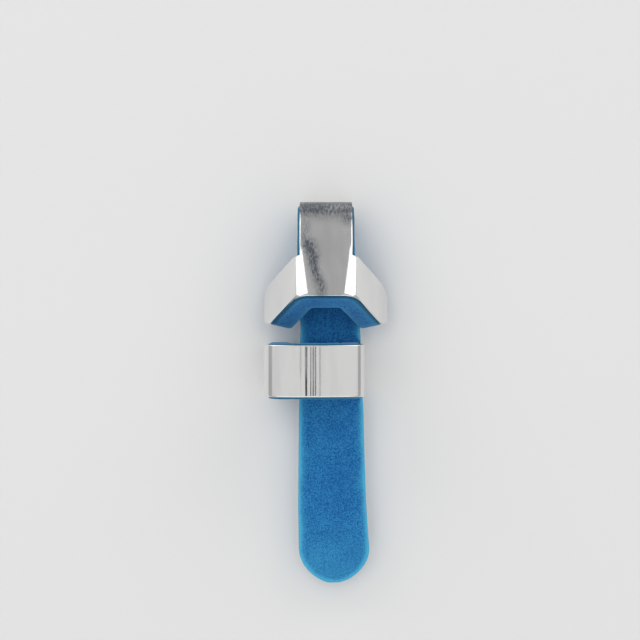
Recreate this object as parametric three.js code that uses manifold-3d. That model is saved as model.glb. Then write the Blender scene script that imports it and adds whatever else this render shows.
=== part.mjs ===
// Finger splint of the baseball kind: one bent aluminium blank and its foam lining.
// It lies on its back: millimetres, +Y toward the fold at the finger tip, +Z up, the floor at z = 0.
import * as THREE from "three";
import Module from "manifold-3d";

const wasm = await Module();
wasm.setup();

const { degToRad, lerp } = THREE.MathUtils;

// Layers, each as a depth below the outer face of the metal.
const SHEET = 0.8;
const GAP = 0.3;
const FOAM = 5.0;
const CUFF_FOAM = 4.0;
const METAL_LAYERS = [0, SHEET];
const FOAM_LAYERS = [SHEET + GAP, SHEET + GAP + FOAM];
const CUFF_FOAM_LAYERS = [SHEET + GAP, SHEET + GAP + CUFF_FOAM];
const INNER_FILLET = { metal: 0.1, foam: 0.8 };

// The long leg, flat on the floor, and the fold at its top end.
const FOLD_START_Y = 38.35;
const FOLD_RADIUS = 7.25;
const FOLD_STEPS = 18;
const FRONT_TILT = degToRad(28);
const FOLD_TURN = Math.PI - FRONT_TILT;

// Side edges of the long leg: X of the metal's and the foam's left and right edge at each Y.
const LONG_LEG_EDGES = [
  { y: 38.35, metalLeft: -6.25, metalRight: 6.25, foamLeft: -6.75, foamRight: 6.75 },
  { y: 14.9, metalLeft: -6.3, metalRight: 8.4, foamLeft: -6.15, foamRight: 8.3 },
  { y: -3.2, metalLeft: -6.6, metalRight: 9.1, foamLeft: -6.45, foamRight: 9.0 },
  { y: -26.0, metalLeft: -6.8, metalRight: 9.8, foamLeft: -6.65, foamRight: 9.7 },
  { y: -38.1, metalLeft: -6.65, metalRight: 10.6, foamLeft: -6.5, foamRight: 10.5 },
];

// The blunt rounded end of the long leg is part of a superellipse.
const END_LENGTH = 8.0;
const END_POWER = 1.8;
const END_STEPS = 10;
const END_LAST = 0.985;

// The front leg and the two wings that are bent down from its lower half.
const FRONT_RUN = 21.3;
const STRIP_HALF = 6.25;
const FOAM_OVERHANG = 0.5;
const WING_START = 10.4;
const WING_FLARE = degToRad(25.5);
const WING_REACH = 18.5;
const WING_CORNER = 4.0;
const WING_ROWS = 6;
const BEND_STEPS = 7;
const CORNER_STEPS = 6;
const CORNER_LAST_TURN = degToRad(80);
const SEAM_OVERLAP = 0.4;
const SEAM_STEP = 0.1;
// The crease is a conical bend: half-spacing and outer radius where the wing starts and at the lower end.
const CREASE = { topHalf: 5.2, lowHalf: 3.7, topRadius: 3.0, lowRadius: 5.2 };

// The cuff strap: a section in X and Z that is swept along Y.
const CUFF = {
  right: 8.9,
  left: -14.4,
  crownX: -3.6,
  crownZ: 23.8,
  domeRadius: 39,
  rootRadius: 2.0,
  rightRadius: 3.2,
  leftRadius: 4.0,
  underRadius: 4.0,
  floorGap: 0.4,
  endX: -7.2,
  low: -0.4,
  high: 11.6,
  endCorner: 2.6,
};
// The cuff's foam shows past the strap's lower edge, and a little past its upper one.
const CUFF_FOAM_EDGES = { low: CUFF.low - 0.5, high: CUFF.high + 0.35 };
const ARC_STEPS = 7;
// How far a cutting box reaches past what it cuts.
const CUT_MARGIN = 1.0;

// A closed sheet from a grid of points: at(i, j, layer) gives the outer face for layer 0, the inner for 1.
function sheet(columns, rows, at) {
  const points = [];
  const triangles = [];
  const index = (i, j, layer) => (layer * (columns + 1) + i) * (rows + 1) + j;
  const quad = (a, b, c, d) => triangles.push(a, b, c, a, c, d);
  for (const layer of [0, 1])
    for (let i = 0; i <= columns; i++)
      for (let j = 0; j <= rows; j++) points.push(...at(i, j, layer).toArray());
  for (let i = 0; i < columns; i++) {
    for (let j = 0; j < rows; j++) {
      quad(index(i, j, 0), index(i + 1, j, 0), index(i + 1, j + 1, 0), index(i, j + 1, 0));
      quad(index(i, j, 1), index(i, j + 1, 1), index(i + 1, j + 1, 1), index(i + 1, j, 1));
    }
    quad(index(i, 0, 0), index(i, 0, 1), index(i + 1, 0, 1), index(i + 1, 0, 0));
    quad(index(i, rows, 0), index(i + 1, rows, 0), index(i + 1, rows, 1), index(i, rows, 1));
  }
  for (let j = 0; j < rows; j++) {
    quad(index(0, j, 0), index(0, j + 1, 0), index(0, j + 1, 1), index(0, j, 1));
    quad(index(columns, j, 0), index(columns, j, 1), index(columns, j + 1, 1), index(columns, j + 1, 0));
  }
  return facingOut(new Float32Array(points), new Uint32Array(triangles));
}

// The closed mesh as a solid, with its triangles turned round if they face inwards.
function facingOut(vertProperties, triVerts) {
  const solid = new wasm.Manifold(new wasm.Mesh({ numProp: 3, vertProperties, triVerts }));
  if (solid.volume() > 0) return solid;
  for (let k = 0; k < triVerts.length; k += 3)
    [triVerts[k + 1], triVerts[k + 2]] = [triVerts[k + 2], triVerts[k + 1]];
  return new wasm.Manifold(new wasm.Mesh({ numProp: 3, vertProperties, triVerts }));
}

// A box between two corners.
function boxSolid(min, max) {
  const corner = (i, j, layer) =>
    new THREE.Vector3(i ? max.x : min.x, j ? max.y : min.y, layer ? max.z : min.z);
  return sheet(1, 1, corner);
}

// How much a rounded corner takes off each side, at a distance before the free end.
function cornerCut(radius, beforeEnd) {
  const into = Math.max(0, radius - beforeEnd);
  return radius - Math.sqrt(radius * radius - into * into);
}

// Distances before the free end that step round a corner evenly, from its start to just short of the end.
function cornerStations(radius) {
  return Array.from({ length: CORNER_STEPS + 1 }, (_, k) => {
    const turn = (CORNER_LAST_TURN * k) / CORNER_STEPS;
    return k === CORNER_STEPS ? 0 : radius * (1 - Math.sin(turn));
  });
}

// Points of the side profile in Y and Z, on the outer face, with the normal that points inwards.
const profile = {
  longLeg: (y) => ({ y, z: 0, normalY: 0, normalZ: 1 }),
  fold: (turn) => ({
    y: FOLD_START_Y + FOLD_RADIUS * Math.sin(turn),
    z: FOLD_RADIUS * (1 - Math.cos(turn)),
    normalY: -Math.sin(turn),
    normalZ: Math.cos(turn),
  }),
  frontLeg: (run) => {
    const start = profile.fold(FOLD_TURN);
    return {
      ...start,
      y: start.y - run * Math.cos(FRONT_TILT),
      z: start.z + run * Math.sin(FRONT_TILT),
    };
  },
};

// The strip from the long leg's end, round the fold, to the lower end of the front leg.
function strip(kind, layers, overhang, frontStations) {
  const stations = [...longLegStations(kind)];
  for (let k = 1; k <= FOLD_STEPS; k++)
    stations.push({
      place: profile.fold((FOLD_TURN * k) / FOLD_STEPS),
      left: -STRIP_HALF - overhang,
      right: STRIP_HALF + overhang,
    });
  for (const { run, half } of frontStations)
    stations.push({ place: profile.frontLeg(run), left: -half, right: half });
  return sheet(stations.length - 1, 1, (i, j, layer) => {
    const { place, left, right } = stations[i];
    const depth = layers[layer];
    return new THREE.Vector3(
      j ? right : left,
      place.y + depth * place.normalY,
      place.z + depth * place.normalZ,
    );
  });
}

function longLegStations(kind) {
  const stations = LONG_LEG_EDGES.map((row) => ({
    place: profile.longLeg(row.y),
    left: row[kind + "Left"],
    right: row[kind + "Right"],
  }));
  const last = stations[stations.length - 1];
  const middle = (last.left + last.right) / 2;
  const half = (last.right - last.left) / 2;
  for (let k = 1; k <= END_STEPS; k++) {
    const along = END_LAST * Math.sin((Math.PI / 2) * (k / END_STEPS));
    const width = half * Math.pow(1 - Math.pow(along, END_POWER), 1 / END_POWER);
    stations.push({
      place: profile.longLeg(last.place.y - along * END_LENGTH),
      left: middle - width,
      right: middle + width,
    });
  }
  return stations.reverse();
}

// Half-spacing and radius of the crease at a distance along the front leg.
function creaseAt(run) {
  const t = (run - WING_START) / (FRONT_RUN - WING_START);
  return {
    half: lerp(CREASE.topHalf, CREASE.lowHalf, t),
    radius: lerp(CREASE.topRadius, CREASE.lowRadius, t),
  };
}

// One wing on side 1 (right) or -1 (left): a lead-in on the flat, the bend, and the flank.
// With grow above 0 it is larger all round its edges, to cut room for itself.
function wing(side, layers, fillet, grow = 0) {
  const bendTurn = Math.PI / 2 - WING_FLARE;
  const corners = cornerStations(WING_CORNER);
  const columns = 1 + BEND_STEPS + corners.length;

  // Across the sheet in X and depth, at one distance along the leg and for one layer.
  function across(i, run, depth) {
    const { half, radius } = creaseAt(run);
    const bendRadius = Math.max(radius, depth + fillet);
    const cornerX = half + radius * Math.tan(bendTurn / 2);
    const centreX = cornerX - bendRadius * Math.tan(bendTurn / 2);
    if (i === 0) return { x: Math.min(half, centreX) - SEAM_OVERLAP, depth };
    if (i <= BEND_STEPS + 1) {
      const turn = (bendTurn * (i - 1)) / BEND_STEPS;
      return {
        x: centreX + (bendRadius - depth) * Math.sin(turn),
        depth: bendRadius - (bendRadius - depth) * Math.cos(turn),
      };
    }
    const reach = WING_REACH + grow - corners[i - BEND_STEPS - 2];
    return {
      x: cornerX + reach * Math.sin(WING_FLARE) - depth * Math.cos(WING_FLARE),
      depth: reach * Math.cos(WING_FLARE) + depth * Math.sin(WING_FLARE),
    };
  }

  return sheet(columns, WING_ROWS, (i, j, layer) => {
    const flank = i - BEND_STEPS - 2;
    const cut = flank < 0 ? 0 : cornerCut(WING_CORNER, corners[flank]);
    const run = lerp(WING_START - grow + cut, FRONT_RUN + grow - cut, j / WING_ROWS);
    const { x, depth } = across(i, run, layers[layer]);
    const place = profile.frontLeg(run);
    return new THREE.Vector3(
      side * x,
      place.y + depth * place.normalY,
      place.z + depth * place.normalZ,
    );
  });
}

// The cuff's section at one depth: bends joined by straight or domed stretches, in order from the root.
function cuffSection(depth, fillet) {
  const bend = (radius) => Math.max(radius, depth + fillet);
  const domeZ = CUFF.crownZ - CUFF.domeRadius;
  const domeCorner = (wallX, side, radius) => {
    const x = wallX - side * radius;
    const z = domeZ + Math.sqrt((CUFF.domeRadius - radius) ** 2 - (x - CUFF.crownX) ** 2);
    return { x, z, radius, domeAngle: Math.atan2(z - domeZ, x - CUFF.crownX) };
  };
  const root = bend(CUFF.rootRadius);
  const under = bend(CUFF.underRadius);
  const right = domeCorner(CUFF.right, 1, bend(CUFF.rightRadius));
  const left = domeCorner(CUFF.left, -1, bend(CUFF.leftRadius));
  const arcs = [
    { x: CUFF.right - root, z: root, radius: root, from: -Math.PI / 2, to: 0 },
    { ...right, from: 0, to: right.domeAngle },
    { x: CUFF.crownX, z: domeZ, radius: CUFF.domeRadius, from: right.domeAngle, to: left.domeAngle },
    { ...left, from: left.domeAngle, to: Math.PI },
    { x: CUFF.left + under, z: CUFF.floorGap + under, radius: under, from: Math.PI, to: Math.PI * 1.5 },
  ];
  const points = arcs.flatMap(({ x, z, radius, from, to }) =>
    Array.from({ length: ARC_STEPS + 1 }, (_, k) => {
      const angle = lerp(from, to, k / ARC_STEPS);
      return {
        x: x + (radius - depth) * Math.cos(angle),
        z: z + (radius - depth) * Math.sin(angle),
      };
    }),
  );
  return points.filter((p, k) => !k || Math.hypot(p.x - points[k - 1].x, p.z - points[k - 1].z) > 1e-6);
}

// The strap or its foam between two edges along Y, with a rounded free end.
function cuff(layers, fillet, { low, high }) {
  const sections = layers.map((depth) => cuffSection(depth, fillet));
  const corners = cornerStations(CUFF.endCorner);
  const bent = sections[0].length;
  return sheet(bent + corners.length - 1, 1, (i, j, layer) => {
    if (i < bent) {
      const point = sections[layer][i];
      return new THREE.Vector3(point.x, j ? high : low, point.z);
    }
    const beforeEnd = corners[i - bent];
    const cut = cornerCut(CUFF.endCorner, beforeEnd);
    return new THREE.Vector3(
      CUFF.endX - beforeEnd,
      j ? high - cut : low + cut,
      CUFF.floorGap + layers[layer],
    );
  });
}

// The metal: the strip makes room at the cuff's root, and the cuff and wings grow out of it.
function aluminiumBlank() {
  const full = WING_START + SEAM_OVERLAP;
  const front = [
    { run: full, half: STRIP_HALF },
    { run: full + SEAM_STEP, half: CREASE.topHalf },
    { run: FRONT_RUN, half: CREASE.lowHalf },
  ];
  const rootRoom = boxSolid(
    new THREE.Vector3(CUFF.right - CUFF.rootRadius, CUFF.low, -CUT_MARGIN),
    new THREE.Vector3(CUFF.right + CUT_MARGIN, CUFF.high, SHEET + CUT_MARGIN),
  );
  return strip("metal", METAL_LAYERS, 0, front)
    .subtract(rootRoom)
    .add(cuff(METAL_LAYERS, INNER_FILLET.metal, CUFF))
    .add(wing(1, METAL_LAYERS, INNER_FILLET.metal))
    .add(wing(-1, METAL_LAYERS, INNER_FILLET.metal));
}

// The foam: it stands a little proud of the strip's sides, but stops short of the wings' upper edges.
function foamLining() {
  const proud = STRIP_HALF + FOAM_OVERHANG;
  const narrow = CREASE.topHalf - GAP;
  const front = [
    { run: WING_START - 2 * GAP, half: proud },
    { run: WING_START - GAP, half: narrow },
    { run: FRONT_RUN, half: CREASE.lowHalf - GAP },
  ];
  const rootRoom = boxSolid(
    new THREE.Vector3(CUFF.right - CUFF.rootRadius, CUFF.low - GAP, 0),
    new THREE.Vector3(CUFF.right + CUT_MARGIN, CUFF.high + GAP, FOAM_LAYERS[1] + CUT_MARGIN),
  );
  return strip("foam", FOAM_LAYERS, FOAM_OVERHANG, front)
    .subtract(rootRoom)
    .subtract(wingRoom(1))
    .subtract(wingRoom(-1))
    .add(cuff(CUFF_FOAM_LAYERS, INNER_FILLET.foam, CUFF_FOAM_EDGES))
    .add(wing(1, FOAM_LAYERS, INNER_FILLET.foam))
    .add(wing(-1, FOAM_LAYERS, INNER_FILLET.foam));
}

// What the long leg's foam gives up so that a wing can reach down beside it.
function wingRoom(side) {
  const besideLongLeg = boxSolid(
    new THREE.Vector3(-WING_REACH, 0, 0),
    new THREE.Vector3(WING_REACH, FOLD_START_Y, FOAM_LAYERS[1] + GAP),
  );
  return wing(side, [0, FOAM_LAYERS[1] + GAP], INNER_FILLET.foam, GAP).intersect(besideLongLeg);
}

function meshOf(name, solid, material) {
  const { vertProperties, triVerts } = solid.getMesh();
  const geometry = new THREE.BufferGeometry();
  geometry.setAttribute("position", new THREE.BufferAttribute(vertProperties, 3));
  geometry.setIndex(new THREE.BufferAttribute(triVerts, 1));
  const mesh = new THREE.Mesh(geometry, new THREE.MeshStandardMaterial(material));
  mesh.name = name;
  return mesh;
}

const ALUMINIUM = { color: 0xbcbdbe, roughness: 0.25, metalness: 1 };
const BLUE_FOAM = { color: 0x2a6fb2, roughness: 0.95, metalness: 0 };

const splint = new THREE.Group();
splint.add(
  meshOf("aluminium_blank", aluminiumBlank(), ALUMINIUM),
  meshOf("foam_lining", foamLining(), BLUE_FOAM),
);

// The frame's origin is on the floor, under the middle of the outline.
const middle = new THREE.Box3().setFromObject(splint).getCenter(new THREE.Vector3());
splint.position.set(-middle.x, -middle.y, 0);

export default splint;
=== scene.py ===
"""A baseball finger splint: one bent aluminium blank, polished, with blue open-cell foam glued inside."""

import math

import bpy
import numpy as np
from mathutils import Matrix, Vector, noise
from mathutils.bvhtree import BVHTree


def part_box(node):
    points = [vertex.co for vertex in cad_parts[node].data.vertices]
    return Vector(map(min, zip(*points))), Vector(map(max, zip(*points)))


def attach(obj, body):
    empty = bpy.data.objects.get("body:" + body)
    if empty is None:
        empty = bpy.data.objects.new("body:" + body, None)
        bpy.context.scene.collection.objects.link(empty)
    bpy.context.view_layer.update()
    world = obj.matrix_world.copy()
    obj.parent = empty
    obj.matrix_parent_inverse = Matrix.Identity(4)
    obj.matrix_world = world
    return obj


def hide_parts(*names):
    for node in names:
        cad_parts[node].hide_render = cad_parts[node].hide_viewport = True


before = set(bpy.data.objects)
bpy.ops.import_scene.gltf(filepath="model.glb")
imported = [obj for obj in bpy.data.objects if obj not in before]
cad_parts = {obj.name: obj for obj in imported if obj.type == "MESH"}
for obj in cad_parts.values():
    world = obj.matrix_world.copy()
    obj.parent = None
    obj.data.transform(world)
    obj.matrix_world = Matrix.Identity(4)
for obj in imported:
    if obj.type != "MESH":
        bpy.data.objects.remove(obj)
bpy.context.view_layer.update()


# Camera: it looks straight down on the splint, which lies on its back, so that the picture's top is +Y.
# The picture's middle is a little left of the strip's. The view's width is the one near the splint's
# mid-height.
CAMERA_X = -0.0014
CAMERA_Y = 0.0175
CAMERA_HEIGHT = 0.350
SENSOR_WIDTH = 36.0
VIEW_WIDTH = 0.1523
VIEW_WIDTH_AT = 0.010
NEAREST_SEEN = 0.01

bpy.ops.object.camera_add(location=(CAMERA_X, CAMERA_Y, CAMERA_HEIGHT), rotation=(0, 0, 0))
camera = bpy.context.object
camera.data.sensor_width = SENSOR_WIDTH
camera.data.lens = SENSOR_WIDTH * (CAMERA_HEIGHT - VIEW_WIDTH_AT) / VIEW_WIDTH
camera.data.clip_start = NEAREST_SEEN
bpy.context.scene.camera = camera
bpy.context.scene.view_settings.view_transform = "Standard"


# Studio: a pale floor, an even grey sky, and soft panels that the metal mirrors: two overhead, two beyond the
# fold and one at the open end. The fill brings the foam and the floor up, and the metal doesn't mirror it.
# A slim dark flag hangs between the overhead panels, out of sight of the camera.
FLOOR_SIZE = 3.0
FLOOR_DROP = 0.00002
FLOOR_COLOUR = (0.80, 0.80, 0.79, 1)
FLOOR_ROUGHNESS = 0.7
SKY_COLOUR = (0.98, 0.99, 1.0, 1)
SKY_STRENGTH = 0.44
PANELS = [
    {"name": "overhead_left", "at": (-0.46, 0.0, 0.80), "size": (0.84, 1.1), "radiance": 0.30},
    {"name": "overhead_right", "at": (0.46, 0.0, 0.80), "size": (0.84, 1.1), "radiance": 0.30},
    {"name": "front_left", "at": (-0.62, 0.82, 0.38), "size": (0.90, 0.74), "radiance": 1.2},
    {"name": "front_right", "at": (0.62, 0.82, 0.38), "size": (0.90, 0.74), "radiance": 1.2},
    {"name": "open_end", "at": (0.0, -0.80, 0.75), "size": (1.2, 1.0), "radiance": 0.55},
    {"name": "fill", "at": (-0.15, 0.1, 1.2), "size": (1.2, 1.2), "radiance": 0.90, "mirrored": False},
]
FLAG_COLOUR = (0.03, 0.03, 0.03, 1)
FLAG_ROUGHNESS = 0.9
FLAG_PLACE = (0.0, -0.015, 0.60)
FLAG_SIZE = (0.055, 0.34)


def deselect():
    bpy.ops.object.select_all(action="DESELECT")


def matt_material(name, colour, roughness):
    material = bpy.data.materials.new(name)
    material.use_nodes = True
    shader = material.node_tree.nodes["Principled BSDF"]
    shader.inputs["Base Color"].default_value = colour
    shader.inputs["Roughness"].default_value = roughness
    return material


def make_floor():
    deselect()
    bpy.ops.mesh.primitive_plane_add(size=FLOOR_SIZE, location=(0, 0, -FLOOR_DROP))
    floor = bpy.context.object
    floor.name = "floor"
    floor.data.materials.append(matt_material("pale_floor", FLOOR_COLOUR, FLOOR_ROUGHNESS))


def make_flag():
    deselect()
    bpy.ops.mesh.primitive_plane_add(size=1, location=FLAG_PLACE)
    flag = bpy.context.object
    flag.name = "overhead_flag"
    flag.scale = (*FLAG_SIZE, 1)
    flag.visible_camera = False
    flag.data.materials.append(matt_material("black_card", FLAG_COLOUR, FLAG_ROUGHNESS))


def make_panel(name, at, size, radiance, mirrored=True):
    """A soft panel turned toward the splint, with the energy that gives its face this radiance."""
    data = bpy.data.lights.new(name, "AREA")
    data.shape = "RECTANGLE"
    data.size, data.size_y = size
    data.energy = radiance * math.pi * size[0] * size[1]
    lamp = bpy.data.objects.new(name, data)
    lamp.location = at
    lamp.rotation_euler = (-Vector(at)).to_track_quat("-Z", "Y").to_euler()
    lamp.visible_glossy = mirrored
    bpy.context.collection.objects.link(lamp)


def make_sky():
    world = bpy.data.worlds.new("sky")
    world.use_nodes = True
    background = world.node_tree.nodes["Background"]
    background.inputs["Color"].default_value = SKY_COLOUR
    background.inputs["Strength"].default_value = SKY_STRENGTH
    bpy.context.scene.world = world


make_floor()
make_flag()
make_sky()
for panel in PANELS:
    make_panel(**panel)


# Aluminium blank: one die-cut, polished sheet, bent by hand along the fold, the two creases of the wings and
# round the cuff. It is drawn in millimetres as the sheet's outer face, region by region on matching rows,
# then welded, thickened inwards and given broken edges.
MM = 0.001
SHEET = 0.8
FOLD_START_Y = 38.35
FOLD_RADIUS = 7.25
FRONT_TILT = math.radians(28)
FOLD_TURN = math.pi - FRONT_TILT
FRONT_RUN = 21.3
STRIP_HALF = 6.25
LONG_LEG_EDGES = [
    {"y": -38.1, "left": -6.65, "right": 10.6},
    {"y": -26.0, "left": -6.8, "right": 9.8},
    {"y": -3.2, "left": -6.6, "right": 9.1},
    {"y": 14.9, "left": -6.3, "right": 8.4},
    {"y": 38.35, "left": -6.25, "right": 6.25},
]
END_LENGTH = 8.0
END_POWER = 1.8
WING_START = 10.4
WING_FLARE = math.radians(25.5)
WING_REACH = 18.5
WING_CORNER = 4.0
BEND_TURN = math.pi / 2 - WING_FLARE
CREASE_HALF = (5.2, 3.7)
CREASE_RADIUS = (3.0, 5.2)
CURL_START = 6.5
CUFF_RIGHT = 8.9
CUFF_LEFT = -14.4
CUFF_CROWN = (-3.6, 23.8)
CUFF_DOME = 39.0
CUFF_ROOT_RADIUS = 2.0
CUFF_RIGHT_RADIUS = 3.2
CUFF_LEFT_RADIUS = 4.0
CUFF_UNDER_RADIUS = 4.0
CUFF_FLOOR_GAP = 0.4
CUFF_END_X = -7.2
CUFF_LOW = -0.4
CUFF_HIGH = 11.6
CUFF_END_CORNER = 2.6
CUFF_ROOT_X = CUFF_RIGHT - CUFF_ROOT_RADIUS
CELL = 0.6
END_ROWS = 14
FOLD_STEP = math.radians(4)
FLANK_STEP = 0.035
BEND_STEP = math.radians(6)
SHORTEST_BEND_CELL = 0.25
DOME_CELL = 0.16
DOME_BLEND = 1.5
NEAR = 1e-6
WELD_GAP = 0.01
EDGE_BREAK = 0.24
EDGE_BREAK_STEPS = 2
SHARP_ANGLE = math.radians(50)
RIPPLE_X = -3.6
RIPPLE_SPREAD = 3.2
RIPPLE_LENGTH = 1.30
RIPPLE_HEIGHT = 0.0125
SWELL_LENGTH = 7.5
SWELL_HEIGHT = 0.016

blank_low, blank_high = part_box("aluminium_blank")
SLIDE_Y = blank_high.y / MM - (FOLD_START_Y + FOLD_RADIUS)


def lerp(a, b, t):
    return a + (b - a) * t


def steps(start, stop, step=CELL):
    """Evenly spaced numbers from start to stop, about a step apart, with both ends."""
    count = max(1, round(abs(stop - start) / step))
    return [lerp(start, stop, k / count) for k in range(count + 1)]


def long_leg_edges(y):
    ys = [row["y"] for row in LONG_LEG_EDGES]
    left = np.interp(y, ys, [row["left"] for row in LONG_LEG_EDGES])
    right = np.interp(y, ys, [row["right"] for row in LONG_LEG_EDGES])
    return float(left), float(right)


def root_fraction(y):
    """Where the cuff's root line runs between the strip's edges, as a fraction of its width."""
    left, right = long_leg_edges(min(max(y, CUFF_LOW), CUFF_HIGH))
    return (CUFF_ROOT_X - left) / (right - left)


def front_place(run, depth=0.0):
    """Y and Z on the front leg, at a run from the fold and a depth below its outer face."""
    start_y = FOLD_START_Y + FOLD_RADIUS * math.sin(FOLD_TURN)
    start_z = FOLD_RADIUS * (1 - math.cos(FOLD_TURN))
    y = start_y - run * math.cos(FRONT_TILT) - depth * math.sin(FRONT_TILT)
    z = start_z + run * math.sin(FRONT_TILT) - depth * math.cos(FRONT_TILT)
    return y, z


def crease(run):
    t = min(max((run - WING_START) / (FRONT_RUN - WING_START), 0), 1)
    return lerp(*CREASE_HALF, t), lerp(*CREASE_RADIUS, t)


def corner_cut(radius, before_end):
    """What a rounded corner takes off each side at a distance before the free end."""
    into = max(0.0, radius - before_end)
    return radius - math.sqrt(radius * radius - into * into)


def corner_stations(radius, count=9, last_turn=math.radians(80)):
    """Distances before the free end that go round a corner in even turns."""
    turns = [last_turn * k / count for k in range(count)]
    return [radius * (1 - math.sin(turn)) for turn in turns] + [0.0]


def rounded_end(u, v):
    """Maps a square patch, u from -1 to 1 and v from 0 to 1, to half a superellipse."""
    x = u * math.sqrt(1 - v * v / 2)
    y = v * math.sqrt(1 - u * u / 2)
    radius = math.hypot(x, y)
    if radius == 0:
        return 0.0, 0.0
    swell = ((abs(x) / radius) ** END_POWER + (y / radius) ** END_POWER) ** (-1 / END_POWER)
    swell = lerp(1, swell, v)
    return x * swell, y * swell


def grid_object(name, columns, left_out=None):
    """A mesh from columns of points, all of one length. left_out says which faces the sheet doesn't have."""
    rows = len(columns[0])
    points = [(p + Vector((0, SLIDE_Y, 0))) * MM for column in columns for p in column]
    faces = [
        (i * rows + j, (i + 1) * rows + j, (i + 1) * rows + j + 1, i * rows + j + 1)
        for i in range(len(columns) - 1)
        for j in range(rows - 1)
        if left_out is None or not left_out(i, j)
    ]
    mesh = bpy.data.meshes.new(name)
    mesh.from_pydata(points, [], faces)
    piece = bpy.data.objects.new(name, mesh)
    bpy.context.collection.objects.link(piece)
    return piece


CUFF_ROWS = steps(CUFF_LOW, CUFF_HIGH)
WING_ROWS = steps(WING_START, FRONT_RUN)
COLUMNS = 26
ROOT_COLUMN = 22
CURL_COLUMNS = 3


def strip_point(u, station):
    kind, where = station
    if kind == "end":
        y = LONG_LEG_EDGES[0]["y"]
        left, right = long_leg_edges(y)
        across, along = rounded_end(2 * u - 1, where)
        return Vector(((left + right) / 2 + across * (right - left) / 2, y - along * END_LENGTH, 0))
    if kind == "long":
        left, right = long_leg_edges(where)
        return Vector((lerp(left, right, u), where, 0))
    if kind == "fold":
        y = FOLD_START_Y + FOLD_RADIUS * math.sin(where)
        z = FOLD_RADIUS * (1 - math.cos(where))
        return Vector((lerp(-STRIP_HALF, STRIP_HALF, u), y, z))
    return front_point(u, where)


def strip_stations():
    ends = [("end", k / END_ROWS) for k in range(END_ROWS, 0, -1)]
    below = [("long", y) for y in steps(LONG_LEG_EDGES[0]["y"], CUFF_LOW)]
    root = [("long", y) for y in CUFF_ROWS[1:]]
    above = [("long", y) for y in steps(CUFF_HIGH, FOLD_START_Y)[1:]]
    fold = [("fold", turn) for turn in steps(0, FOLD_TURN, FOLD_STEP)[1:]]
    front = [("front", run) for run in steps(0, WING_START)[1:]]
    wings = [("front", run) for run in WING_ROWS[1:]]
    return ends + below + root + above + fold + front + wings


def smooth(t):
    t = min(max(t, 0.0), 1.0)
    return t * t * (3 - 2 * t)


def strip_fractions(station):
    """Across the strip: the columns keep to the cuff's root below, and to the creases in front."""
    kind, where = station
    y = {"end": CUFF_LOW, "long": where}.get(kind, FOLD_START_Y)
    front_share = smooth((y - CUFF_HIGH) / (FOLD_START_Y - CUFF_HIGH))
    split = root_fraction(y)
    curl = (1 - CREASE_HALF[0] / STRIP_HALF) / 2
    fractions = []
    for column in range(COLUMNS + 1):
        if column <= ROOT_COLUMN:
            back = split * column / ROOT_COLUMN
        else:
            back = lerp(split, 1, (column - ROOT_COLUMN) / (COLUMNS - ROOT_COLUMN))
        mirrored = min(column, COLUMNS - column)
        if mirrored <= CURL_COLUMNS:
            front = curl * mirrored / CURL_COLUMNS
        else:
            front = lerp(curl, 0.5, (mirrored - CURL_COLUMNS) / (COLUMNS / 2 - CURL_COLUMNS))
        front = front if column <= COLUMNS / 2 else 1 - front
        fractions.append(lerp(back, front, front_share))
    return fractions


def bent_across(run, beyond):
    """X and depth of the sheet at an arc length beyond the crease."""
    half, radius = crease(run)
    if beyond < radius * BEND_TURN:
        turn = beyond / radius
        return half + radius * math.sin(turn), radius * (1 - math.cos(turn))
    reach = radius * math.tan(BEND_TURN / 2) + beyond - radius * BEND_TURN
    return flank_across(run, reach)


def flank_across(run, reach):
    half, radius = crease(run)
    corner = half + radius * math.tan(BEND_TURN / 2)
    return corner + reach * math.sin(WING_FLARE), reach * math.cos(WING_FLARE)


def front_point(u, run):
    """On the front leg above the wings: flat, with its sides curling a little toward them."""
    half = crease(run)[0]
    across = lerp(-STRIP_HALF, STRIP_HALF, u)
    depth = 0.0
    if abs(across) > half:
        curl = smooth((run - CURL_START) / (WING_START - CURL_START))
        x, low = bent_across(run, abs(across) - half)
        across = math.copysign(lerp(abs(across), x, curl), across)
        depth = low * curl
    return Vector((across, *front_place(run, depth)))


def between_wings(column, u, run):
    """On the front leg between the wings: the outer columns stop where the wings' creases start."""
    inner = min(max(column, CURL_COLUMNS), COLUMNS - CURL_COLUMNS)
    half = crease(run)[0]
    if inner == column or run > WING_START + NEAR:
        share = (inner - CURL_COLUMNS) / (COLUMNS - 2 * CURL_COLUMNS)
        return Vector((lerp(-half, half, share), *front_place(run)))
    off_middle = u - 0.5
    x, depth = bent_across(run, abs(off_middle) * 2 * STRIP_HALF - half)
    return Vector((math.copysign(x, off_middle), *front_place(run, depth)))


def make_strip():
    stations = strip_stations()
    fractions = [strip_fractions(station) for station in stations]

    def vertex(column, u, station):
        kind, where = station
        if kind == "front" and where > WING_START - NEAR:
            return between_wings(column, u, where)
        return strip_point(u, station)

    def left_out(i, j):
        kind, first = stations[j]
        next_kind, last = stations[j + 1]
        on_root = first > CUFF_LOW - NEAR and last < CUFF_HIGH + NEAR
        beside_cuff = kind == next_kind == "long" and on_root
        beside_wing = kind == "front" and first > WING_START - NEAR
        outside = i < CURL_COLUMNS or i >= COLUMNS - CURL_COLUMNS
        return (beside_cuff and i >= ROOT_COLUMN) or (beside_wing and outside)

    columns = [
        [vertex(column, across[column], station) for station, across in zip(stations, fractions)]
        for column in range(COLUMNS + 1)
    ]
    return grid_object("strip", columns, left_out)


def length_to_corners(run):
    """The arc length from the crease's start to where the wing's rounded corners begin."""
    radius = crease(run)[1]
    return radius * (BEND_TURN - math.tan(BEND_TURN / 2)) + WING_REACH - WING_CORNER


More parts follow.
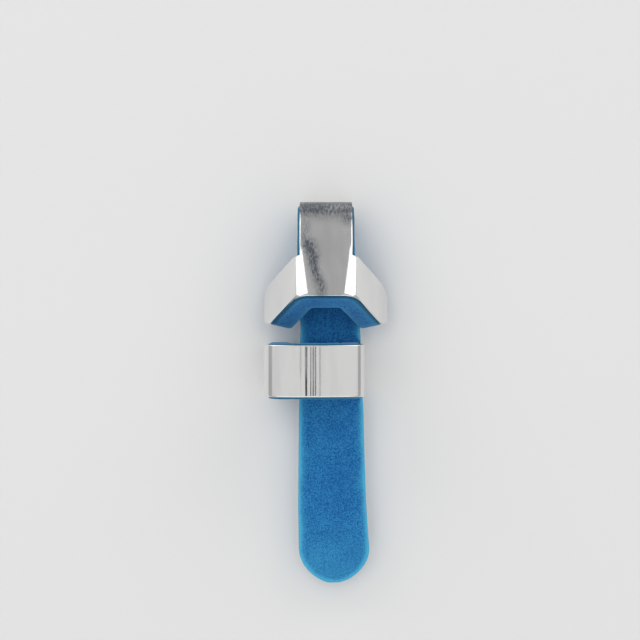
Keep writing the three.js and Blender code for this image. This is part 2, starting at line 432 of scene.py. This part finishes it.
def make_wing(side):
    """side is 1 on the right and -1 on the left."""

    def on_wing(across, run):
        x, depth = across
        return Vector((side * x, *front_place(run, depth)))

    curl = STRIP_HALF - CREASE_HALF[0]
    columns = []
    for beyond in steps(0, curl, curl / CURL_COLUMNS):
        columns.append([on_wing(bent_across(run, beyond), run) for run in WING_ROWS])
    for share in steps(0, 1, FLANK_STEP)[1:]:
        lengths = [lerp(curl, length_to_corners(run), share) for run in WING_ROWS]
        columns.append([on_wing(bent_across(run, beyond), run) for beyond, run in zip(lengths, WING_ROWS)])
    last = len(WING_ROWS) - 1
    for before_end in corner_stations(WING_CORNER)[1:]:
        cut = corner_cut(WING_CORNER, before_end)
        runs = [lerp(WING_START + cut, FRONT_RUN - cut, k / last) for k in range(last + 1)]
        columns.append([on_wing(flank_across(run, WING_REACH - before_end), run) for run in runs])
    return grid_object("wing", columns)


def dome_corner(wall_x, side, radius):
    """The bend from a side wall to the domed top: its centre, and its direction from the dome's centre."""
    dome_z = CUFF_CROWN[1] - CUFF_DOME
    x = wall_x - side * radius
    z = dome_z + math.sqrt((CUFF_DOME - radius) ** 2 - (x - CUFF_CROWN[0]) ** 2)
    return x, z, math.atan2(z - dome_z, x - CUFF_CROWN[0])


def cuff_ripple(x):
    """How far the hand-bent crown of the cuff departs from a true arc: a few fine ripples on a long one."""
    off = x - RIPPLE_X
    fine = RIPPLE_HEIGHT * math.exp(-((off / RIPPLE_SPREAD) ** 2)) * math.cos(math.tau * off / RIPPLE_LENGTH)
    return fine + SWELL_HEIGHT * math.sin(math.tau * off / SWELL_LENGTH)


def rippled(arc):
    """The crown's arc with its ripples, which fade out toward the bends on both sides."""
    right_end, left_end = arc[0][0], arc[-1][0]
    points = []
    for x, z in arc:
        from_bend = min(abs(x - right_end), abs(x - left_end))
        points.append((x, z + cuff_ripple(x) * smooth(from_bend / DOME_BLEND)))
    return points


def straight_wall(start, end):
    """Points between two places in X and Z, without the places themselves."""
    shares = steps(0, 1, CELL / math.dist(start, end))[1:-1]
    return [(lerp(start[0], end[0], t), lerp(start[1], end[1], t)) for t in shares]


def cuff_section():
    """Points of the strap's outer face in X and Z, from its root to where the free end's corners start."""
    right_x, right_z, right_turn = dome_corner(CUFF_RIGHT, 1, CUFF_RIGHT_RADIUS)
    left_x, left_z, left_turn = dome_corner(CUFF_LEFT, -1, CUFF_LEFT_RADIUS)
    crown_x = CUFF_CROWN[0]
    dome_z = CUFF_CROWN[1] - CUFF_DOME
    under_x = CUFF_LEFT + CUFF_UNDER_RADIUS
    under_z = CUFF_FLOOR_GAP + CUFF_UNDER_RADIUS
    arcs = [
        (CUFF_ROOT_X, CUFF_ROOT_RADIUS, CUFF_ROOT_RADIUS, -math.pi / 2, 0),
        (right_x, right_z, CUFF_RIGHT_RADIUS, 0, right_turn),
        (crown_x, dome_z, CUFF_DOME, right_turn, left_turn),
        (left_x, left_z, CUFF_LEFT_RADIUS, left_turn, math.pi),
        (under_x, under_z, CUFF_UNDER_RADIUS, math.pi, 1.5 * math.pi),
    ]
    points = []
    for x, z, radius, first, last in arcs:
        on_dome = radius == CUFF_DOME
        cell = DOME_CELL if on_dome else max(BEND_STEP * radius, SHORTEST_BEND_CELL)
        turns = steps(first, last, cell / radius)
        arc = [(x + radius * math.cos(turn), z + radius * math.sin(turn)) for turn in turns]
        if on_dome:
            arc = rippled(arc)
        if points and math.dist(points[-1], arc[0]) > NEAR:
            points += straight_wall(points[-1], arc[0])
        elif points:
            arc = arc[1:]
        points += arc
    return points


def make_cuff():
    columns = [[Vector((x, y, z)) for y in CUFF_ROWS] for x, z in cuff_section()]
    last = len(CUFF_ROWS) - 1
    for before_end in corner_stations(CUFF_END_CORNER):
        cut = corner_cut(CUFF_END_CORNER, before_end)
        ys = [lerp(CUFF_LOW + cut, CUFF_HIGH - cut, k / last) for k in range(last + 1)]
        columns.append([Vector((CUFF_END_X - before_end, y, CUFF_FLOOR_GAP)) for y in ys])
    return grid_object("cuff", columns)


def only(piece):
    deselect()
    piece.select_set(True)
    bpy.context.view_layer.objects.active = piece


def weld(pieces, name):
    """Joins the regions into one sheet whose faces point out of the splint."""
    only(pieces[0])
    for piece in pieces[1:]:
        piece.select_set(True)
    bpy.ops.object.join()
    sheet = bpy.context.object
    sheet.name = sheet.data.name = name
    bpy.ops.object.mode_set(mode="EDIT")
    bpy.ops.mesh.select_all(action="SELECT")
    bpy.ops.mesh.delete_loose()
    bpy.ops.mesh.select_all(action="SELECT")
    bpy.ops.mesh.remove_doubles(threshold=WELD_GAP * MM)
    bpy.ops.mesh.normals_make_consistent(inside=False)
    bpy.ops.object.mode_set(mode="OBJECT")
    lowest = min(sheet.data.polygons, key=lambda face: face.center.z)
    if lowest.normal.z > 0:
        bpy.ops.object.mode_set(mode="EDIT")
        bpy.ops.mesh.flip_normals()
        bpy.ops.object.mode_set(mode="OBJECT")
    return sheet


def thicken(sheet, thickness, edge_break):
    """Gives the sheet its thickness inwards, and breaks its cut edges."""
    only(sheet)
    solidify = sheet.modifiers.new("thickness", "SOLIDIFY")
    solidify.thickness = thickness * MM
    solidify.offset = -1
    solidify.use_even_offset = True
    bpy.ops.object.modifier_apply(modifier=solidify.name)
    bevel = sheet.modifiers.new("edge_break", "BEVEL")
    bevel.width = edge_break * MM
    bevel.segments = EDGE_BREAK_STEPS
    bevel.limit_method = "ANGLE"
    bevel.angle_limit = SHARP_ANGLE
    bevel.use_clamp_overlap = False
    bpy.ops.object.modifier_apply(modifier=bevel.name)
    bpy.ops.object.shade_smooth()


blank = weld([make_strip(), make_wing(1), make_wing(-1), make_cuff()], "bent_aluminium")
thicken(blank, SHEET, EDGE_BREAK)


# Painted dark reflection on the front leg, standing in for dark things the polished metal mirrors: its
# streak's path as X and run from the fold, with strength and width.
DARK_REFLECTION_PATH = [
    {"at": (-4.6, 1.5), "strength": 0.45, "width": 2.0},
    {"at": (-4.9, 5.6), "strength": 0.65, "width": 2.2},
    {"at": (-4.0, 7.9), "strength": 1.20, "width": 3.2},
    {"at": (-3.1, 10.4), "strength": 1.30, "width": 2.5},
    {"at": (-2.9, 12.8), "strength": 1.30, "width": 2.0},
    {"at": (-2.4, 15.4), "strength": 1.15, "width": 2.1},
    {"at": (-1.3, 18.8), "strength": 1.00, "width": 2.4},
    {"at": (-1.0, 21.3), "strength": 0.95, "width": 2.2},
]
TOP_REFLECTION_FROM = -2.6
TOP_REFLECTION_LENGTH = 5.0
TOP_REFLECTION_STRENGTH = 1.22
CORNER_REFLECTION_AT = (5.2, 0.4)
CORNER_REFLECTION_WIDTH = 3.2
CORNER_REFLECTION_STRENGTH = 1.10
REFLECTION_FADE_HEIGHT = (4.2, 7.8)
REFLECTION_LOWEST_Y = 18.0
REFLECTION_PAST_END = 1.0
REFLECTION_PAST_SIDE = 0.5
# The metal's own colour, and the colour of the painted dark reflection on it.
CLEAN_METAL = (0.84, 0.835, 0.82, 1)
DARK_REFLECTION_METAL = (0.15, 0.165, 0.19, 1)
# The metal is also rougher under the painted dark reflection.
PAINTED_REFLECTION_ROUGHNESS = 0.16
MOTTLE = {"scale": 2400, "detail": 5, "stretch": (1.2, 0.45, 0.45)}
MOTTLE_RANGES = ((0.36, 0.64), (0.52, 1.0))
DRIFT = {"scale": 160, "detail": 3}
DRIFT_RANGES = ((0.35, 0.6), (0.85, 1.1))
ROUGHNESS_RANGES = ((0.35, 0.70), (0.09, 0.19))
BANDS = {"scale": 230, "detail": 2, "stretch": (1.0, 0.18, 0.18)}
BANDS_RANGES = ((0.45, 0.70), (0.0, 0.12))
ROLLED_GRAIN = {"scale": 1500, "detail": 4, "stretch": (1.0, 0.08, 0.3)}
ROLLED_GRAIN_STRENGTH = 0.10
ROLLED_GRAIN_DEPTH = 0.00005


def run_of(point):
    """How far a point lies from the fold along the front leg, less than 0 on the fold."""
    y, z = point.y / MM - SLIDE_Y, point.z / MM
    start_y, start_z = front_place(0)
    return -(y - start_y) * math.cos(FRONT_TILT) + (z - start_z) * math.sin(FRONT_TILT)


def streak_at(place):
    """The streak's strength at a place in X and run: strongest on its path, and nothing a width away."""
    strongest = 0.0
    for start, end in zip(DARK_REFLECTION_PATH, DARK_REFLECTION_PATH[1:]):
        a, b = Vector(start["at"]), Vector(end["at"])
        share = min(max((place - a).dot(b - a) / (b - a).length_squared, 0), 1)
        off = (place - a.lerp(b, share)).length
        strength = lerp(start["strength"], end["strength"], share)
        width = lerp(start["width"], end["width"], share)
        strongest = max(strongest, strength * smooth(1 - off / width))
    return strongest


def dark_reflection_at(point):
    """Painted dark reflection on the front leg: across the top, in its upper right corner, and down a streak.
    """
    run = run_of(point)
    across = point.x / MM
    height = point.z / MM
    low, high = REFLECTION_FADE_HEIGHT
    if height < low or point.y / MM < REFLECTION_LOWEST_Y:
        return 0.0
    if run > FRONT_RUN + REFLECTION_PAST_END or abs(across) > STRIP_HALF + REFLECTION_PAST_SIDE:
        return 0.0
    place = Vector((across, run))
    top = TOP_REFLECTION_STRENGTH * smooth(1 - (run - TOP_REFLECTION_FROM) / TOP_REFLECTION_LENGTH)
    off = (place - Vector(CORNER_REFLECTION_AT)).length
    corner = CORNER_REFLECTION_STRENGTH * smooth(1 - off / CORNER_REFLECTION_WIDTH)
    return max(streak_at(place), top, corner) * smooth((height - low) / (high - low))


# Stores the painted dark reflection's strength on each vertex.
def paint_dark_reflection(piece):
    layer = piece.data.attributes.new("dark_reflection", "FLOAT", "POINT")
    layer.data.foreach_set("value", [dark_reflection_at(v.co) for v in piece.data.vertices])


def ranged(tree, value, from_range, to_range):
    """A value moved from one range to another, and kept within the second."""
    node = tree.nodes.new("ShaderNodeMapRange")
    for side, limits in (("From", from_range), ("To", to_range)):
        node.inputs[f"{side} Min"].default_value = limits[0]
        node.inputs[f"{side} Max"].default_value = limits[1]
    tree.links.new(value, node.inputs["Value"])
    return node.outputs["Result"]


def combined(tree, operation, first, second):
    node = tree.nodes.new("ShaderNodeMath")
    node.operation = operation
    for socket, value in zip(node.inputs, (first, second)):
        if isinstance(value, (int, float)):
            socket.default_value = value
        else:
            tree.links.new(value, socket)
    return node.outputs["Value"]


def noise_of(tree, place, scale, detail, stretch=(1, 1, 1)):
    mapping = tree.nodes.new("ShaderNodeMapping")
    mapping.inputs["Scale"].default_value = stretch
    tree.links.new(place, mapping.inputs["Vector"])
    node = tree.nodes.new("ShaderNodeTexNoise")
    node.inputs["Scale"].default_value = scale
    node.inputs["Detail"].default_value = detail
    tree.links.new(mapping.outputs["Vector"], node.inputs["Vector"])
    return node.outputs["Fac"]


def mixed(tree, share, first, second):
    """A colour between two, each given as a value or as another node's output."""
    node = tree.nodes.new("ShaderNodeMix")
    node.data_type = "RGBA"
    tree.links.new(share, node.inputs["Factor"])
    for name, colour in (("A", first), ("B", second)):
        if isinstance(colour, tuple):
            node.inputs[name].default_value = colour
        else:
            tree.links.new(colour, node.inputs[name])
    return node.outputs["Result"]


def mark_of(tree, name):
    """The strength that was painted on the piece under a name."""
    node = tree.nodes.new("ShaderNodeAttribute")
    node.attribute_name = name
    return node.outputs["Fac"]


def bumped(tree, shader, height, strength, depth, invert=False):
    node = tree.nodes.new("ShaderNodeBump")
    node.inputs["Strength"].default_value = strength
    node.inputs["Distance"].default_value = depth
    node.invert = invert
    tree.links.new(height, node.inputs["Height"])
    tree.links.new(node.outputs["Normal"], shader.inputs["Normal"])


def aluminium_material():
    material = bpy.data.materials.new("polished_aluminium")
    material.use_nodes = True
    tree = material.node_tree
    shader = tree.nodes["Principled BSDF"]
    shader.inputs["Metallic"].default_value = 1.0
    place = tree.nodes.new("ShaderNodeTexCoord").outputs["Object"]
    # The painted dark reflection, mottled and faded by noise, with faint bands of darker tone added, mixes
    # the base colour toward a dark grey.
    marks = mark_of(tree, "dark_reflection")
    drift = noise_of(tree, place, **DRIFT)
    mottle = ranged(tree, noise_of(tree, place, **MOTTLE), *MOTTLE_RANGES)
    dark_reflection = combined(tree, "MULTIPLY", marks, mottle)
    dark_reflection = combined(tree, "MULTIPLY", dark_reflection, ranged(tree, drift, *DRIFT_RANGES))
    bands = ranged(tree, noise_of(tree, place, **BANDS), *BANDS_RANGES)
    dark_reflection = combined(tree, "ADD", dark_reflection, bands)
    tree.links.new(mixed(tree, dark_reflection, CLEAN_METAL, DARK_REFLECTION_METAL), shader.inputs["Base Color"])
    clean = ranged(tree, drift, *ROUGHNESS_RANGES)
    roughness = combined(tree, "ADD", clean, combined(tree, "MULTIPLY", marks, PAINTED_REFLECTION_ROUGHNESS))
    tree.links.new(roughness, shader.inputs["Roughness"])
    rolled = noise_of(tree, place, **ROLLED_GRAIN)
    bumped(tree, shader, rolled, ROLLED_GRAIN_STRENGTH, ROLLED_GRAIN_DEPTH)
    return material


paint_dark_reflection(blank)
blank.data.materials.append(aluminium_material())
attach(blank, "root")
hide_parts("aluminium_blank")


# Foam lining: one layer of fine open-cell polyurethane foam, glued to the inner face of the metal before the
# bending. It fills the CAD solid's space and meets the metal. Its cut edges are soft and carry a painted
# highlight, and beside the glue line, where it meets the metal's edges, it carries painted shade.
FOAM_VOXEL = 0.30
FOAM_SMOOTHING_ROUNDS = 7
FOAM_SMOOTHING_SHARE = 0.5
GLUE_REACH = 0.55
GLUE_FULL = 0.40
GLUE_LEFT = 0.03
SHADE_REACH = 1.1
SHADE_FULL = 0.45
FOAM_WAVE = 0.07
FOAM_WAVE_SCALE = 260
FOAM_GRAIN = 0.035
FOAM_GRAIN_SCALE = 2300
RIM_ROUNDS = 36
RIM_SMOOTHING_SHARE = 0.7
RIM_HEIGHT = 0.30
RIM_BED_HEIGHT = 7.0
RIM_ELSEWHERE = 0.45
TIP_PALE = 0.30
TIP_PALE_FROM = -30.0
TIP_PALE_LENGTH = 15.0
# Painted shade in the crevice where the foam meets the metal's edges: its strength, and its colour below.
GLUE_SHADE = 0.72
FOAM_LIGHT = (0.040, 0.275, 0.560, 1)
FOAM_DEEP = (0.008, 0.105, 0.330, 1)
FOAM_TONES_AT = (0.45, 0.95)
# Painted highlight on the foam's cut edges, where they catch the light; the long leg's tip is paler in the
# same colour.
RIM_COLOUR = (0.090, 0.510, 0.750, 1)
RIM_SHARE = 0.75
CREVICE_SHADE_COLOUR = (0.004, 0.030, 0.070, 1)
FOAM_ROUGHNESS = 0.95
FOAM_SHINE = 0.12
FOAM_SHEEN = 0.30
FOAM_SHEEN_COLOUR = (0.5, 0.8, 1.0, 1)
CELL_PATTERN_SCALE = 3000
CELL_SHARE = 0.75
SPECKLE = {"scale": 1900, "detail": 3}
SPECKLE_SHARE = 0.45
CLOUDS = {"scale": 140, "detail": 2}
CLOUDS_SHARE = 0.35
CELL_STRENGTH = 0.6
CELL_DEPTH = 0.00012


def voxel_foam():
    """The CAD foam as one even mesh with soft edges."""
    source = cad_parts["foam_lining"]
    foam = source.copy()
    foam.data = source.data.copy()
    for key in list(foam.keys()):
        if key.startswith("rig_"):
            del foam[key]
    foam.parent = None
    foam.name = foam.data.name = "foam_layer"
    foam.data.materials.clear()
    bpy.context.collection.objects.link(foam)
    only(foam)
    bpy.ops.object.mode_set(mode="EDIT")
    bpy.ops.mesh.select_all(action="SELECT")
    bpy.ops.mesh.remove_doubles(threshold=WELD_GAP * MM)
    bpy.ops.object.mode_set(mode="OBJECT")
    remesh = foam.modifiers.new("voxels", "REMESH")
    remesh.mode = "VOXEL"
    remesh.voxel_size = FOAM_VOXEL * MM
    bpy.ops.object.modifier_apply(modifier=remesh.name)
    soften = foam.modifiers.new("soft_edges", "SMOOTH")
    soften.factor = FOAM_SMOOTHING_SHARE
    soften.iterations = FOAM_SMOOTHING_ROUNDS
    bpy.ops.object.modifier_apply(modifier=soften.name)
    bpy.ops.object.shade_smooth()
    return foam


def meet_metal(foam, metal):
    """Draws the glued face out to the metal, marks painted shade on the foam beside the glue line, and makes
    the rest uneven.
    """
    layer = foam.data.attributes.new("crevice_shade", "FLOAT", "POINT")
    tree = BVHTree.FromPolygons(
        [v.co for v in metal.data.vertices], [list(p.vertices) for p in metal.data.polygons]
    )
    normals = [v.normal.copy() for v in foam.data.vertices]
    for vertex, normal in zip(foam.data.vertices, normals):
        touch, _, _, distance = tree.find_nearest(vertex.co, SHADE_REACH * MM)
        glued = 0.0
        if touch is not None:
            glued = smooth((GLUE_REACH - distance / MM) / (GLUE_REACH - GLUE_FULL))
            # Painted shade, full within SHADE_FULL of the metal and gone at SHADE_REACH.
            shade = smooth((SHADE_REACH - distance / MM) / (SHADE_REACH - SHADE_FULL))
            layer.data[vertex.index].value = shade
            way = (touch - vertex.co).normalized()
            vertex.co += way * max(distance - GLUE_LEFT * MM, 0) * glued
        wave = noise.noise(vertex.co * FOAM_WAVE_SCALE) * FOAM_WAVE
        grain = noise.noise(vertex.co * FOAM_GRAIN_SCALE) * FOAM_GRAIN
        vertex.co += normal * (wave + grain) * MM * (1 - glued)


def paint_rims(foam):
    """Marks a painted highlight on the cut edges: how far each vertex stands out from the same surface
    smoothed.
    """
    mesh = foam.data
    count = len(mesh.vertices)
    points = np.empty(count * 3)
    mesh.vertices.foreach_get("co", points)
    points = points.reshape(-1, 3)
    facing = np.empty(count * 3)
    mesh.vertices.foreach_get("normal", facing)
    facing = facing.reshape(-1, 3)
    ends = np.empty(len(mesh.edges) * 2, dtype=int)
    mesh.edges.foreach_get("vertices", ends)
    ends = ends.reshape(-1, 2)
    links = np.bincount(ends.ravel(), minlength=count)[:, None]
    smoothed = points.copy()
    for _ in range(RIM_ROUNDS):
        total = np.stack(
            [
                np.bincount(ends[:, 0], smoothed[ends[:, 1], axis], count)
                + np.bincount(ends[:, 1], smoothed[ends[:, 0], axis], count)
                for axis in range(3)
            ],
            axis=1,
        )
        smoothed = lerp(smoothed, total / links, RIM_SMOOTHING_SHARE)
    proud = ((points - smoothed) * facing).sum(axis=1) / (RIM_HEIGHT * MM)
    # The painted highlight is full on the finger bed, which faces up into the light, and weaker elsewhere.
    on_bed = (points[:, 2] < RIM_BED_HEIGHT * MM) & (points[:, 1] < FOLD_START_Y * MM)
    proud *= np.where(on_bed, 1.0, RIM_ELSEWHERE)
    toward_tip = np.clip((TIP_PALE_FROM * MM - points[:, 1]) / (TIP_PALE_LENGTH * MM), 0, 1)
    proud = np.maximum(proud, TIP_PALE * toward_tip)
    layer = mesh.attributes.new("rim", "FLOAT", "POINT")
    layer.data.foreach_set("value", np.clip(proud, 0, 1))


def foam_material():
    material = bpy.data.materials.new("blue_open_cell_foam")
    material.use_nodes = True
    tree = material.node_tree
    shader = tree.nodes["Principled BSDF"]
    shader.inputs["Roughness"].default_value = FOAM_ROUGHNESS
    shader.inputs["Specular IOR Level"].default_value = FOAM_SHINE
    shader.inputs["Sheen Weight"].default_value = FOAM_SHEEN
    shader.inputs["Sheen Tint"].default_value = FOAM_SHEEN_COLOUR
    place = tree.nodes.new("ShaderNodeTexCoord").outputs["Object"]
    cells = tree.nodes.new("ShaderNodeTexVoronoi")
    cells.inputs["Scale"].default_value = CELL_PATTERN_SCALE
    tree.links.new(place, cells.inputs["Vector"])
    speck = combined(tree, "MULTIPLY", cells.outputs["Distance"], CELL_SHARE)
    for pattern, share in ((SPECKLE, SPECKLE_SHARE), (CLOUDS, CLOUDS_SHARE)):
        part = combined(tree, "MULTIPLY", noise_of(tree, place, **pattern), share)
        speck = combined(tree, "ADD", speck, part)
    tint = tree.nodes.new("ShaderNodeValToRGB")
    light, deep = tint.color_ramp.elements
    light.position, deep.position = FOAM_TONES_AT
    light.color = FOAM_LIGHT
    deep.color = FOAM_DEEP
    tree.links.new(speck, tint.inputs["Fac"])
    # Painted highlight on the cut edges, and the paler tip.
    rim = combined(tree, "MULTIPLY", mark_of(tree, "rim"), RIM_SHARE)
    colour = mixed(tree, rim, tint.outputs["Color"], RIM_COLOUR)
    # Painted shade beside the glue line, where the foam meets the metal.
    shade = combined(tree, "MULTIPLY", mark_of(tree, "crevice_shade"), GLUE_SHADE)
    colour = mixed(tree, shade, colour, CREVICE_SHADE_COLOUR)
    tree.links.new(colour, shader.inputs["Base Color"])
    bumped(tree, shader, speck, CELL_STRENGTH, CELL_DEPTH, invert=True)
    return material


foam = voxel_foam()
meet_metal(foam, blank)
paint_rims(foam)
foam.data.materials.append(foam_material())
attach(foam, "root")
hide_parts("foam_lining")
